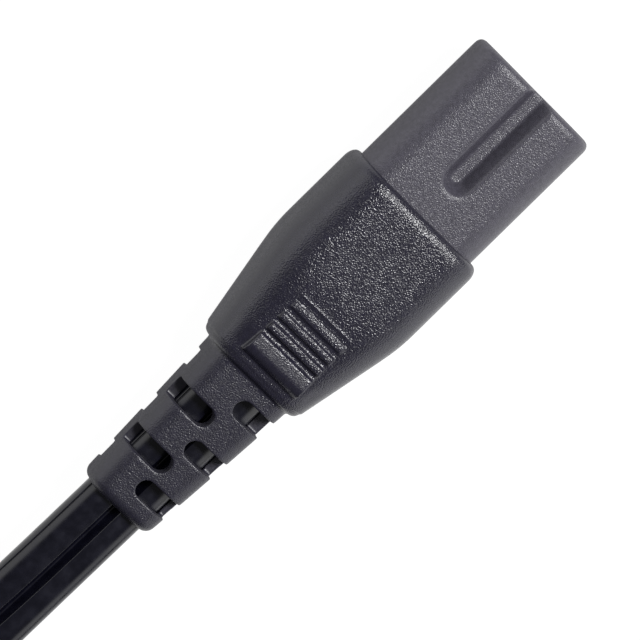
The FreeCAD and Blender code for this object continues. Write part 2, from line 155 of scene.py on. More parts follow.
class CordSizes(bpy.types.PropertyGroup):
    """Sizes of the flat twin cord and of the hank that it is put away in."""
    width: size("Width", "Width of the flat cord", 0.0072)
    thickness: size("Thickness", "Thickness of the flat cord", 0.0036)
    groove_width: size("Groove width", "Width of the groove between the cores", 0.0012)
    groove_depth: size("Groove depth", "Depth of the groove between the cores", 0.0011)
    rib_depth: size("Rib depth", "Depth of the flutes that mark one core", 0.00018)
    start_x: size("Start", "Where the cores part inside the body", -0.0056)
    core_front: size("Core front", "Where a core ends in its crimp", 0.0079)
    core_bend: size("Core bend", "Where a core starts to bend behind its crimp", 0.0054)
    core_radius: size("Core radius", "Radius of one insulated core", 0.00175)
    length: size("Length", "Length of the whole cord", 1.8)
    inner_radius: size("Inner radius", "Radius of the hank's inner column of turns", 0.0216)
    column_pitch: size("Column pitch", "From one column of turns to the next", 0.0037)
    near_centre: size("Near centre", "Middle of the hank's near bend", -0.082)
    far_centre: size("Far centre", "Middle of the hank's far bend", -0.152)
    low_z: size("Low layer", "Height of the lower turns", 0.0044)
    high_z: size("High layer", "Height of the upper turns", 0.0116)


class PlugSizes(bpy.types.PropertyGroup):
    """Sizes of the two blade plug. A section is width, thickness and corner."""
    front: section("Front", "Section of the plug's face", (0.0204, 0.0126, 0.0036))
    rear: section("Rear", "Section of the plug's rear", (0.0125, 0.0094, 0.0034))
    relief_root: section("Relief root", "Section of its relief at the body", (0.0096, 0.0066, 0.0022))
    relief_end: section("Relief end", "Section of its relief at the cord", (0.0086, 0.0056, 0.0022))
    bridge: section("Bridge", "Section of the hard plate in the face", (0.0172, 0.0088, 0.0016))
    body_length: size("Body length", "Length of the plug's body", 0.024)
    edge_round: size("Edge round", "Radius of the plug's edges", 0.001)
    relief_length: size("Relief length", "Length of the plug's strain relief", 0.013)
    relief_end_round: size("Relief end round", "Radius of its relief's last edge", 0.0005)
    blade_spacing: size("Blade spacing", "Between the two blades", 0.0127)
    blade_width: size("Blade width", "Width of a blade", 0.0063)
    blade_thickness: size("Blade thickness", "Thickness of a blade", 0.0015)
    blade_length: size("Blade length", "From the plug's face to a blade's tip", 0.016)
    blade_root: size("Blade root", "Length of a blade inside the plug", 0.009)
    blade_chamfer: size("Blade chamfer", "Chamfer of a blade's tip", 0.0005)
    blade_hole_radius: size("Blade hole", "Radius of the hole in a blade", 0.0016)
    blade_hole_from_face: size("Hole from face", "From the plug's face to the hole", 0.0119)
    bridge_length: size("Bridge length", "Depth of the hard plate", 0.005)
    voxel: size("Grid", "Size of the grid that blends the moulding", 0.00018)


class StrapSizes(bpy.types.PropertyGroup):
    """Sizes of the strap round the hank."""
    thickness: size("Thickness", "Thickness of the strap", 0.0008)
    corner: size("Corner", "Radius of the strap's bends", 0.002)
    overlap: size("Overlap", "Length of the free end on the top", 0.006)
    thread: size("Thread", "Width of one thread", 0.0004)


class Finishes(bpy.types.PropertyGroup):
    """Colours of the finishes."""
    grip_colour: shade("Grip", "Moulded grip and strain relief", (0.010, 0.009, 0.019))
    nose_colour: shade("Nose", "Moulded contact carrier", (0.053, 0.050, 0.065))
    cord_colour: shade("Cord", "Glossy cord sheath", (0.0026, 0.0026, 0.0072))
    plug_colour: shade("Plug", "Moulded plug", (0.010, 0.009, 0.019))
    bridge_colour: shade("Plug bridge", "Hard plastic in the plug's face", (0.04, 0.04, 0.044))
    strap_colour: shade("Strap", "Woven strap of the hank", (0.012, 0.012, 0.014))
    tin_colour: shade("Tin", "Tinned contacts", (0.72, 0.70, 0.64))
    nickel_colour: shade("Nickel", "Plated plug blades", (0.75, 0.74, 0.70))
    copper_colour: shade("Copper", "Bare strands", (0.72, 0.38, 0.22))


class StageSettings(bpy.types.PropertyGroup):
    """Camera and light of the studio."""
    view_x: number("View along", "Lean of the view towards the nose", 0.06)
    view_y: number("View across", "Lean of the view to the left side", 0.31)
    picture_turn: turn("Picture turn", "Angle of the connector's axis in the picture", 44.45)
    distance: size("Distance", "From the camera to the connector", 0.6)
    pixels_per_metre: number("Scale", "Pixels of the picture per metre at the connector", 10250.0)
    picture_width: number("Picture width", "Width of the picture in pixels", 640.0)
    centre_x: size("Centre along", "Point of the axis beside the picture's middle", -0.00183)
    centre_across: size("Centre across", "From the axis to the picture's middle", 0.0012)
    floor_size: size("Floor size", "Width of the floor", 4.0)
    wall_level: number("Wall level", "Brightness of the white walls", 1.45)
    room_level: number("Room level", "Brightness of the dim room", 0.13)
    wall_start: number("Wall start", "Sideways share where a wall starts", 0.7)
    wall_full: number("Wall full", "Sideways share where a wall is white", 0.88)
    key_power: bpy.props.FloatProperty(
        name="Key power", description="Power of the small softbox", default=4.5, unit="POWER")


# Route of the cord that lies free, as the solids have it, with the turn of its section in degrees
LEAD_POINTS = [
    (RELIEF_END_X, 0.0001, AXIS_Z), (-0.0412, 0.0003, AXIS_Z), (-0.0542, 0.0003, 0.0044),
    (-0.0665, 0.0, 0.0044),
]
LEAD_TILTS = [0, 0, 18, 65]
TAIL_POINTS = [
    (-0.1643, -0.0570, 0.0116), (-0.1500, -0.0626, 0.0112), (-0.1270, -0.0636, 0.0084),
    (-0.1070, -0.0641, 0.0052), (-0.0930, -0.0653, 0.0046), (-0.0842, -0.0654, 0.0054),
    (-0.0769, -0.0646, 0.0063), (-0.0700, -0.0630, 0.0063),
]
TAIL_TILTS = [90, 90, 90, 75, 45, 15, 0, 0]


# Mesh tools
# Forms are joined and cut at a thousand times their size, where the solvers lose nothing to rounding
WORK_SCALE = 1000.0
ACROSS_X = Matrix(((0, 0, 1, 0), (1, 0, 0, 0), (0, 1, 0, 0), (0, 0, 0, 1)))
CORNER_STEPS = 14
ROUND_STEPS = 7
LEAST_CORNER = 0.05
BAR_STEPS = 48
SIDES = {"left": 1, "right": -1}
# Places of a section's first two sizes
WIDTH, THICKNESS = 0, 1


def between(first, second, share):
    """Value at a share of the way from one to another."""
    return first + (second - first) * share


def rounded_face(mesh, x, width, height, corner):
    """One face across X, a rectangle with round corners."""
    before = set(mesh.faces)
    place = Matrix.Translation((x, 0, 0)) @ ACROSS_X @ Matrix.Diagonal((width, height, 1, 1))
    made = bmesh.ops.create_grid(mesh, x_segments=1, y_segments=1, size=0.5, matrix=place)
    bmesh.ops.bevel(
        mesh, geom=made["verts"], offset=corner, offset_type="OFFSET", segments=CORNER_STEPS, profile=0.5,
        affect="VERTICES", material=-1, clamp_overlap=False)
    return (set(mesh.faces) - before).pop()


def loft(mesh, rows):
    """Closed solid through sections across X, each given as x, width, height and corner."""
    faces = [rounded_face(mesh, *row) for row in rows]
    loops = [list(face.edges) for face in faces]
    for first, second in zip(loops, loops[1:]):
        bmesh.ops.bridge_loops(mesh, edges=first + second)
    bmesh.ops.delete(mesh, geom=faces[1:-1], context="FACES_ONLY")
    bmesh.ops.recalc_face_normals(mesh, faces=mesh.faces[:])


def edge_rows(row, radius, inward, reach=None):
    """Sections that round the edge of an end section; inward is the way from the end into the solid."""
    reach = reach or radius
    x, width, height, corner = row
    least = radius * LEAST_CORNER
    rows = []
    for step in range(ROUND_STEPS + 1):
        angle = math.pi / 2 * step / ROUND_STEPS
        inset = radius * (1 - math.sin(angle))
        depth = reach * (1 - math.cos(angle))
        rows.append((x + inward * depth, width - 2 * inset, height - 2 * inset, max(corner - inset, least)))
    return rows


def picked(made, kind):
    """The vertices or edges of what an operator made."""
    return [item for item in made["geom"] if isinstance(item, kind)]


def outline_prism(mesh, points, offset):
    """Closed solid from a line of corners, extruded by an offset."""
    face = mesh.faces.new([mesh.verts.new(point) for point in points])
    made = bmesh.ops.extrude_face_region(mesh, geom=[face])
    bmesh.ops.translate(mesh, verts=picked(made, bmesh.types.BMVert), vec=offset)
    bmesh.ops.recalc_face_normals(mesh, faces=mesh.faces[:])


def both_sides(mesh):
    """Add the same form turned half way round the connector's axis."""
    made = bmesh.ops.duplicate(mesh, geom=mesh.verts[:] + mesh.edges[:] + mesh.faces[:])
    turned = picked(made, bmesh.types.BMVert)
    bmesh.ops.rotate(mesh, verts=turned, cent=(0, 0, 0), matrix=Matrix.Rotation(math.pi, 3, "X"))


def round_bar(mesh, place, radius, length):
    """Round bar along the Z of its place."""
    bmesh.ops.create_cone(
        mesh, cap_ends=True, segments=BAR_STEPS, radius1=radius, radius2=radius, depth=length, matrix=place)


def pin_bars(mesh, spacing, radius, start_x, end_x):
    """Round bar along X at each of the two pins."""
    for side in SIDES.values():
        start = Vector((start_x, side * spacing / 2, 0))
        end = Vector((end_x, side * spacing / 2, 0))
        place = Matrix.Translation((start + end) / 2) @ Matrix.Rotation(math.pi / 2, 4, "Y")
        round_bar(mesh, place, radius, end.x - start.x)


def link(name, data):
    """New object in the scene."""
    made = bpy.data.objects.new(name, data)
    bpy.context.scene.collection.objects.link(made)
    return made


def to_object(mesh, name):
    """Object with the finished bmesh."""
    data = bpy.data.meshes.new(name)
    mesh.to_mesh(data)
    mesh.free()
    return link(name, data)


def mesh_of(made):
    """Mesh of an object with its modifiers or bevel applied."""
    graph = bpy.context.evaluated_depsgraph_get()
    return bpy.data.meshes.new_from_object(made.evaluated_get(graph))


def work_form(name, shape, *values, lift=0.0):
    """Enlarged object that a shape function fills; lift raises it to the connector's axis."""
    mesh = bmesh.new()
    shape(mesh, *values)
    bmesh.ops.translate(mesh, verts=mesh.verts[:], vec=(0, 0, lift))
    bmesh.ops.scale(mesh, verts=mesh.verts[:], vec=(WORK_SCALE, WORK_SCALE, WORK_SCALE))
    return to_object(mesh, name)


def combine(piece, operation, name, shape, *values, lift=0.0):
    """Add or cut another closed form by a boolean modifier."""
    modifier = piece.modifiers.new(name, "BOOLEAN")
    modifier.operation = operation
    modifier.solver = "EXACT"
    modifier.object = work_form(name + "_form", shape, *values, lift=lift)


def blend_surface(piece, voxel, smooth_steps, keep):
    """Blend all forms of a moulding into one skin with soft edges; keep is the share of faces left."""
    remesh = piece.modifiers.new("blend", "REMESH")
    remesh.mode = "VOXEL"
    remesh.voxel_size = voxel * WORK_SCALE
    smooth = piece.modifiers.new("soften", "SMOOTH")
    smooth.factor = 0.5
    smooth.iterations = smooth_steps
    thin = piece.modifiers.new("thin", "DECIMATE")
    thin.ratio = keep


def soft_edges(piece, radius):
    """Small round on every sharp edge of a hard piece."""
    bevel = piece.modifiers.new("edges", "BEVEL")
    bevel.width = radius * WORK_SCALE
    bevel.segments = 3
    bevel.limit_method = "ANGLE"
    bevel.angle_limit = math.radians(35)


def smooth_shading(mesh):
    for polygon in mesh.polygons:
        polygon.use_smooth = True


def settle(piece, sharp_angle=None, place=Matrix()):
    """Apply a piece's modifiers at its real size and place, and remove the forms that they used."""
    made = mesh_of(piece)
    if not made.polygons:
        raise RuntimeError(piece.name + " came out empty")
    made.transform(place @ Matrix.Scale(1 / WORK_SCALE, 4))
    forms = [modifier.object for modifier in piece.modifiers if modifier.type == "BOOLEAN"]
    piece.modifiers.clear()
    old = piece.data
    piece.data = made
    made.name = piece.name
    bpy.data.meshes.remove(old)
    smooth_shading(made)
    if sharp_angle:
        made.set_sharp_from_angle(angle=math.radians(sharp_angle))
    for form in forms:
        bpy.data.objects.remove(form)


def paint(data, material):
    """Give a mesh its only material."""
    data.materials.clear()
    data.materials.append(material)


def dress(piece, material, slot, *nodes):
    """Give a finished piece its material and body, and hide the solids that it stands for. The slot is not
    used.
    """
    paint(piece.data, material)
    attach(piece, BODY)
    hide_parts(*nodes)


# Materials
# Grain and shine of the mouldings change at these heights from the axis and places behind the shoulder
SLOT_HEIGHTS = (0.001, 0.0017)
HUMP_FRONT = (SHOULDER_X - 0.0195, SHOULDER_X - 0.0188)
HUMP_REAR = (SHOULDER_X - 0.0213, SHOULDER_X - 0.0208)
BODY_REAR = (SHOULDER_X - 0.0237, SHOULDER_X - 0.0231)
# Flatness over which a side counts as steep for the grain, and as upright for the shine
STEEP = (0.45, 0.9)
UPRIGHT = (0.05, 0.5)
STEEP_GRAIN = 0.12
HUMP_GRAIN = 0.3
RELIEF_GRAIN = 0.75
UPRIGHT_DULLNESS = 0.28
RELIEF_DULLNESS = 0.1
# Parts of a noise that carry its tones and its range
TONE_PLACES = (0.35, 0.68)
NOISE_MIDDLE = (0.3, 0.7)
SOFT_VINYL = {"grain": 0.00014, "depth": 0.00006, "rough": (0.24, 0.38), "shine": 0.64}


def new_material(name):
    material = bpy.data.materials.new(name)
    material.use_nodes = True
    return material, material.node_tree


def put(tree, socket, value):
    """Set a socket to a plain value, or join another node's socket to it."""
    if isinstance(value, bpy.types.NodeSocket):
        tree.links.new(value, socket)
    else:
        socket.default_value = value


def set_shader(tree, inputs):
    shader = tree.nodes["Principled BSDF"]
    for name, value in inputs.items():
        put(tree, shader.inputs[name], value)


def add_node(tree, kind, inputs=None, **settings):
    """Outputs of a new node, with its settings made and its inputs put in."""
    node = tree.nodes.new("ShaderNode" + kind)
    for name, value in settings.items():
        setattr(node, name, value)
    for name, value in (inputs or {}).items():
        put(tree, node.inputs[name], value)
    return node.outputs


def noise(tree, scale, detail):
    """Noise on Object coordinates."""
    place = add_node(tree, "TexCoord")["Object"]
    return add_node(tree, "TexNoise", {"Vector": place, "Scale": scale, "Detail": detail})["Fac"]


def coordinate(tree, space, axis):
    """One axis of a place or direction."""
    vector = add_node(tree, "TexCoord")[space]
    return add_node(tree, "SeparateXYZ", {"Vector": vector})[axis]


def calculate(tree, operation, first, second=0.0):
    """Result of two values, each a socket or a plain number."""
    return add_node(tree, "Math", {0: first, 1: second}, operation=operation)["Value"]


def ramp(tree, value, start, end, low, high, kind="LINEAR"):
    """Map a range of a value to another range."""
    inputs = {"Value": value, "From Min": start, "From Max": end, "To Min": low, "To Max": high}
    return add_node(tree, "MapRange", inputs, interpolation_type=kind)["Result"]


def bump(tree, height, strength, distance):
    return add_node(tree, "Bump", {"Height": height, "Strength": strength, "Distance": distance})["Normal"]


def two_tones(tree, value, colour, dark, light):
    """Darker and lighter tone of a colour, by the factors given."""
    node = tree.nodes.new("ShaderNodeValToRGB")
    for element, place, factor in zip(node.color_ramp.elements, TONE_PLACES, (dark, light)):
        element.position = place
        element.color = (*(channel * factor for channel in colour), 1)
    put(tree, node.inputs["Fac"], value)
    return node.outputs["Color"]


def flatness(tree):
    """How far the surface faces up or down, 0 on an upright side and 1 on a level face."""
    return calculate(tree, "ABSOLUTE", coordinate(tree, "Normal", "Z"))


def grain_share(tree):
    """Strength of the grain: full on broad faces, faint on steep sides and the hump, none in the slots."""
    along = coordinate(tree, "Object", "X")
    height = calculate(tree, "SUBTRACT", coordinate(tree, "Object", "Z"), AXIS_Z)
    height = calculate(tree, "ABSOLUTE", height)
    before_hump = ramp(tree, along, *HUMP_FRONT, HUMP_GRAIN, 1.0)
    behind_hump = ramp(tree, along, *HUMP_REAR, 1.0, HUMP_GRAIN)
    share = ramp(tree, flatness(tree), *STEEP, STEEP_GRAIN, 1.0)
    for factor in (
            ramp(tree, height, *SLOT_HEIGHTS, 0.0, 1.0),
            calculate(tree, "MAXIMUM", before_hump, behind_hump),
            ramp(tree, along, *BODY_REAR, RELIEF_GRAIN, 1.0)):
        share = calculate(tree, "MULTIPLY", share, factor)
    return share


def grained(name, colour, grain, depth, rough, shine=0.5):
    """Moulded plastic with a spark-eroded grain, duller behind the body and on upright sides.

    grain is the size of one speck and rough the roughness of its top and foot.
    """
    material, tree = new_material(name)
    speck = noise(tree, 1 / grain, 0.0)
    patch = noise(tree, 0.25 / grain, 3.0)
    smoothest, roughest = rough
    roughness = ramp(tree, speck, *NOISE_MIDDLE, roughest, smoothest)
    for dullness in (
            ramp(tree, coordinate(tree, "Object", "X"), *BODY_REAR, RELIEF_DULLNESS, 0.0),
            ramp(tree, flatness(tree), *UPRIGHT, UPRIGHT_DULLNESS, 0.0)):
        roughness = calculate(tree, "ADD", roughness, dullness)
    set_shader(tree, {
        "Base Color": two_tones(tree, patch, colour, dark=0.85, light=1.15),
        "Roughness": roughness,
        "Normal": bump(tree, speck, grain_share(tree), depth),
        "Specular IOR Level": shine,
    })
    return material


def glossy_sheath(name, colour):
    """Extruded sheath, glossy with faint waves."""
    material, tree = new_material(name)
    wave = noise(tree, scale=900.0, detail=2.0)
    set_shader(tree, {
        "Base Color": two_tones(tree, wave, colour, dark=0.8, light=1.25),
        "Roughness": ramp(tree, wave, *NOISE_MIDDLE, 0.2, 0.32),
        "Normal": bump(tree, wave, strength=0.15, distance=0.00005),
    })
    return material


def plated(name, colour, rough):
    """Metal with fine draw marks."""
    material, tree = new_material(name)
    mark = noise(tree, scale=2500.0, detail=3.0)
    set_shader(tree, {
        "Metallic": 1.0,
        "Base Color": two_tones(tree, mark, colour, dark=0.88, light=1.0),
        "Roughness": ramp(tree, mark, *NOISE_MIDDLE, rough, rough + 0.12),
        "Normal": bump(tree, mark, strength=0.04, distance=0.00002),
    })
    return material


def woven(name, colour, thread):
    """Strap of crossing threads."""
    material, tree = new_material(name)
    place = add_node(tree, "TexCoord")["Object"]
    inputs = {"Vector": place, "Scale": 0.3 / thread}
    bands = [
        add_node(tree, "TexWave", inputs, bands_direction=direction)["Fac"] for direction in ("X", "DIAGONAL")
    ]
    weave = calculate(tree, "MULTIPLY", *bands)
    set_shader(tree, {
        "Base Color": two_tones(tree, weave, colour, dark=0.6, light=1.6),
        "Roughness": ramp(tree, weave, *NOISE_MIDDLE, 0.85, 0.7),
        "Normal": bump(tree, weave, strength=0.8, distance=thread / 2),
        "Sheen Weight": 0.3,
    })
    return material


# Nose
# Corner of a half-round side as a share of its height, just short of a half so that both corners keep apart
HALF_ROUND = 0.499
LOCK_SLOPE = 0.1
# How far a groove's cutter goes past the surface
GROOVE_OVER = 0.001
GROOVE_STEPS = 32


def obround(width, height):
    """Width, height and corner of a section with half-round sides."""
    return width, height, height * HALF_ROUND


def carrier_rows(sizes):
    """Sections of the contact carrier from its rear to its rounded tip."""
    full = obround(sizes.width, sizes.height)
    neck = obround(sizes.width - 2 * sizes.lock_depth, sizes.height - 2 * sizes.lock_depth)
    lock_front = SHOULDER_X - sizes.lock_start
    lock_rear = lock_front - sizes.lock_width
    slope = sizes.lock_depth * LOCK_SLOPE
    rows = [(CARRIER_REAR_X, *full), (lock_rear, *full), (lock_rear + slope, *neck)]
    rows += [(lock_front - slope, *neck), (lock_front, *full)]
    return rows + edge_rows((TIP_X, *full), sizes.front_round, -1, sizes.front_reach)[::-1]


def nose_groove(mesh, sizes, half_top, half_floor, depth):
    """Convex cutters of one groove above and one below: round at the inner end, open past the tip."""
    lip = half_top + (half_top - half_floor) / depth * GROOVE_OVER
    top = sizes.height / 2
    inner_x = TIP_X - sizes.groove_length + sizes.groove_width / 2
    for x in (inner_x, TIP_X + 2 * GROOVE_OVER):
        for radius, z in ((half_floor, top - depth), (lip, top + GROOVE_OVER)):
            place = Matrix.Translation((x, 0, z))
            bmesh.ops.create_circle(mesh, cap_ends=False, segments=GROOVE_STEPS, radius=radius, matrix=place)
    bmesh.ops.convex_hull(mesh, input=mesh.verts[:])
    loose = [edge for edge in mesh.edges if not edge.link_faces]
    bmesh.ops.delete(mesh, geom=loose, context="EDGES")
    bmesh.ops.recalc_face_normals(mesh, faces=mesh.faces[:])
    both_sides(mesh)


class CONNECTOR_OT_nose(bpy.types.Operator):
    """Build the contact carrier with its nose, grooves and pin holes"""
    bl_idname = "connector.nose"
    bl_label = "Nose"

    def execute(self, context):
        sizes = context.scene.nose_sizes
        nose = work_form("nose_moulding", loft, carrier_rows(sizes), lift=AXIS_Z)

        half_top = sizes.groove_width / 2
        half_floor = sizes.groove_floor / 2
        wall_slope = (half_top - half_floor) / sizes.groove_depth
        lip_top = half_top + sizes.lip_width
        lip_foot = half_top - wall_slope * sizes.lip_depth
        wall_x = TIP_X - sizes.front_wall
        over = sizes.front_wall
        rear_x = CARRIER_REAR_X - over
        spacing = sizes.pin_spacing
        for name, shape, *values in (
                ("groove", nose_groove, sizes, half_top, half_floor, sizes.groove_depth),
                ("lip", nose_groove, sizes, lip_top, lip_foot, sizes.lip_depth),
                ("hole", pin_bars, spacing, sizes.hole_radius, wall_x - over, TIP_X + over),
                ("cavity", pin_bars, spacing, sizes.cavity_radius, rear_x, wall_x),
                ("crimp", pin_bars, spacing, sizes.crimp_radius, rear_x, sizes.crimp_front)):
            combine(nose, "DIFFERENCE", name, shape, *values, lift=AXIS_Z)
        blend_surface(nose, voxel=0.00012, smooth_steps=16, keep=0.7)
        settle(nose)
        colour = context.scene.finishes.nose_colour
        material = grained("nose_plastic", colour, grain=0.00011, depth=0.000042, rough=(0.3, 0.42))
        dress(nose, material, "carrier_moulding", "contact_carrier")
        return {"FINISHED"}


# Overmould
# Half the length of the soft knee, and where the tapered sections start before it and end in edge rounds
KNEE_SOFT = 0.0016
BEFORE_KNEE = 0.0018
BEFORE_REAR = 1.1
# Half widths of a pad's groove at its top and floor, in groove radii
RIDGE_TOP = 1.25
RIDGE_FLOOR = 0.55
BODY_STEPS = 30
ROLL_STEPS = 10
RELIEF_STEPS = 12
SLOT_STEPS = 16
SLOTS = 5
PAD_GROOVES = 4
# How far a pad or relief starts inside the body
PAD_ROOT = 0.0015
RELIEF_ROOT = 0.001
# Room round the cord and its cores, and how far its channel and the crimps' pockets are cut past their ends
CORD_PLAY = 0.00005
CHANNEL_OVER = 0.002
CRIMP_OVER = 0.0005


def body_rear_x(sizes):
    return SHOULDER_X - sizes.length


def taper_share(sizes, x, straight):
    """Share of the body's taper at a place, with a soft start."""
    length = sizes.length - straight
    along = SHOULDER_X - straight + KNEE_SOFT - x
    if along < 2 * KNEE_SOFT:
        return max(along, 0.0) ** 2 / (4 * KNEE_SOFT) / length
    return (along - KNEE_SOFT) / length


def body_rows(sizes):
    """Sections of the body: parallel, then tapered past a soft knee, on the top a little later."""
    rear_x = body_rear_x(sizes)
    rows = edge_rows((SHOULDER_X, *sizes.front), sizes.edge_round, -1, sizes.shoulder_reach)
    start_x = SHOULDER_X - sizes.straight + BEFORE_KNEE
    end_x = rear_x + sizes.edge_round * BEFORE_REAR
    for step in range(BODY_STEPS + 1):
        x = start_x + (end_x - start_x) * step / BODY_STEPS
        sides = taper_share(sizes, x, sizes.straight)
        top = taper_share(sizes, x, sizes.top_straight)
        rows.append((x, *map(between, sizes.front, sizes.rear, (sides, top, sides))))
    return rows + edge_rows((rear_x, *sizes.rear), sizes.edge_round, 1)[::-1]


def pad_outline(sizes):
    """Side view of a grip pad: grooves between ridges, then a hump that rolls down to the body."""
    front_x = SHOULDER_X - sizes.pad_front
    rear_x = front_x - sizes.pad_length
    top = sizes.front[THICKNESS] / 2
    rear_top = sizes.rear[THICKNESS] / 2
    root = rear_top - PAD_ROOT
    points = [(front_x, root), (front_x, top)]
    floor = top - sizes.ridge_depth
    for index in range(PAD_GROOVES):
        middle = front_x - sizes.pad_lip - index * sizes.ridge_pitch
        for reach, height in (
                (RIDGE_TOP, top), (RIDGE_FLOOR, floor), (-RIDGE_FLOOR, floor), (-RIDGE_TOP, top)):
            points.append((middle + sizes.ridge_radius * reach, height))
    points[-1] = (points[-1][0], top - sizes.hump_rise)
    roll_x = rear_x + sizes.pad_roll
    drop = top - rear_top
    bend = (sizes.pad_roll ** 2 + drop ** 2) / (2 * drop)
    for step in range(ROLL_STEPS + 1):
        along = sizes.pad_roll * step / ROLL_STEPS
        points.append((roll_x - along, top - bend + math.sqrt(bend ** 2 - along ** 2)))
    points.append((rear_x, root))
    return points


def grip_pads(mesh, sizes):
    """Two pads, wider towards the rear, one on the top and one underneath."""
    points = [(x, -0.5, z) for x, z in pad_outline(sizes)]
    outline_prism(mesh, points, (0, 1, 0))
    front_x = SHOULDER_X - sizes.pad_front
    for vert in mesh.verts:
        share = (front_x - vert.co.x) / sizes.pad_length
        vert.co.y *= between(sizes.pad_front_width, sizes.pad_rear_width, share)
    both_sides(mesh)


def lean_relief(mesh, sizes):
    """Bend a form of the relief a little to the left towards its end."""
    rear_x = body_rear_x(sizes)
    for vert in mesh.verts:
        share = max((rear_x - vert.co.x) / (rear_x - RELIEF_END_X), 0.0)
        vert.co.y += sizes.relief_lean * share ** 2


def relief_body(mesh, sizes):
    """Plain strain relief, from inside the body to its rounded end, before its slots are cut."""
    rear_x = body_rear_x(sizes)
    beyond = 1 + RELIEF_ROOT / (rear_x - RELIEF_END_X)
    root_width = between(sizes.relief_end[WIDTH], sizes.relief_root[WIDTH], beyond)
    root = (rear_x + RELIEF_ROOT, root_width, *sizes.relief_root[THICKNESS:])
    ending = edge_rows((RELIEF_END_X, *sizes.relief_end), sizes.relief_end_round, 1)[::-1]
    rows = [root]
    for step in range(1, RELIEF_STEPS):
        rows.append(tuple(a + (b - a) * step / RELIEF_STEPS for a, b in zip(root, ending[0])))
    loft(mesh, rows + ending)
    lean_relief(mesh, sizes)


def relief_slots(mesh, sizes):
    """Slots from alternate sides of the relief to about its middle, above and below."""
    radius = sizes.slot_width / 2
    reach = sizes.relief_root[WIDTH]
    for index in range(SLOTS):
        side = -1 if index % 2 == 0 else 1
        x = body_rear_x(sizes) - sizes.slot_first - index * sizes.slot_pitch
        points = [(x + radius, side * reach, sizes.slot_floor)]
        inner_end = sizes.slot_inner - index * sizes.slot_step
        for step in range(SLOT_STEPS + 1):
            angle = math.pi * step / SLOT_STEPS
            inner = inner_end + radius - radius * math.sin(angle)
            points.append((x + radius * math.cos(angle), side * inner, sizes.slot_floor))
        points.append((x - radius, side * reach, sizes.slot_floor))
        outline_prism(mesh, points, (0, 0, sizes.relief_root[THICKNESS]))
    both_sides(mesh)
    lean_relief(mesh, sizes)


class CONNECTOR_OT_grip(bpy.types.Operator):
    """Build the overmould with its body, grip pads and slotted strain relief"""
    bl_idname = "connector.grip"
    bl_label = "Grip and strain relief"

    def execute(self, context):
        sizes = context.scene.grip_sizes
        cord = context.scene.cord_sizes
        nose = context.scene.nose_sizes
        spacing = nose.pin_spacing
        grip = work_form("grip_moulding", loft, body_rows(sizes), lift=AXIS_Z)
        section_of_cord = obround(cord.width + 2 * CORD_PLAY, cord.thickness + 2 * CORD_PLAY)
        channel = [(RELIEF_END_X - CHANNEL_OVER, *section_of_cord), (cord.start_x, *section_of_cord)]
        crimps_end = CARRIER_REAR_X + CRIMP_OVER
        for operation, name, shape, *values in (
                ("UNION", "relief", relief_body, sizes),
                ("UNION", "pads", grip_pads, sizes),
                ("DIFFERENCE", "slots", relief_slots, sizes),
                ("DIFFERENCE", "pocket", loft, carrier_rows(nose)),
                ("DIFFERENCE", "channel", loft, channel),
                ("DIFFERENCE", "crimps", pin_bars, spacing, nose.crimp_radius, nose.crimp_rear, crimps_end),
                ("DIFFERENCE", "left_core", core_tube, cord, spacing, SIDES["left"], CORD_PLAY),
                ("DIFFERENCE", "right_core", core_tube, cord, spacing, SIDES["right"], CORD_PLAY)):
            combine(grip, operation, name, shape, *values, lift=AXIS_Z)
        blend_surface(grip, sizes.voxel, smooth_steps=3, keep=0.42)
        settle(grip)
        material = grained("grip_vinyl", context.scene.finishes.grip_colour, **SOFT_VINYL)
        dress(grip, material, "connector_moulding", "connector_overmould")
        return {"FINISHED"}


# Cord
# Flutes that mark one core: their places round it and their width, in degrees
FLUTES = (-31, 31)
FLUTE_WIDTH = 4.0
# Groove between the cores, in halves of its mouth: across and down from the lip, across and up from the floor
GROOVE_LIP = ((1.1, 0.0), (1.02, 0.04), (0.97, 0.15))
GROOVE_FLOOR = ((0.25, 0.1), (0.12, 0.0), (0.0, 0.0))
SECTION_STEPS = 90
BEND_STEPS = 6
# Parts of one turn of the hank in their order, and the shares of each that carry control points
BEND_SHARES = [0.0] + [(2 * step + 1) / (2 * BEND_STEPS) for step in range(BEND_STEPS)] + [1.0]
TURN_PARTS = {"out": [], "far": BEND_SHARES, "back": [0.5], "near": BEND_SHARES}
PART_ORDER = list(TURN_PARTS)
# Where each turn moves over to the next berth: part of the turn, and shares of that part
MOVES = (("near", 0.75, 1.0), ("near", 0.5, 0.75), ("near", 0.0, 0.5), ("back", 0.5, 1.0), ("back", 0.0, 0.5))
# The last turn ends at this share of its far bend
LAST_SHARE = 0.8


def cord_outline(sizes):
    """Section of the flat twin cord, with a deep groove on each side and thin flutes round one core."""
    half = sizes.thickness / 2
    offset = sizes.width / 2 - half
    mouth = sizes.groove_width / 2
    floor = half - sizes.groove_depth
    upper = [(mouth * across, half - mouth * down) for across, down in GROOVE_LIP]
    upper += [(mouth * across, floor + mouth * up) for across, up in GROOVE_FLOOR]
    upper += [(-x, y) for x, y in upper[-2::-1]]
    lower = [(-x, -y) for x, y in upper]
    fluted = []
    plain = []
    for step in range(SECTION_STEPS + 1):
        turned = -90 + 180 * step / SECTION_STEPS
        nearest = min(abs(turned - flute) for flute in FLUTES)
        radius = half - sizes.rib_depth * max(0.0, 1 - nearest / FLUTE_WIDTH)
        angle = math.radians(turned)
        fluted.append((offset + radius * math.cos(angle), radius * math.sin(angle)))
        plain.append((-offset - half * math.cos(angle), half * math.sin(angle)))
    return fluted + upper + plain[::-1] + lower


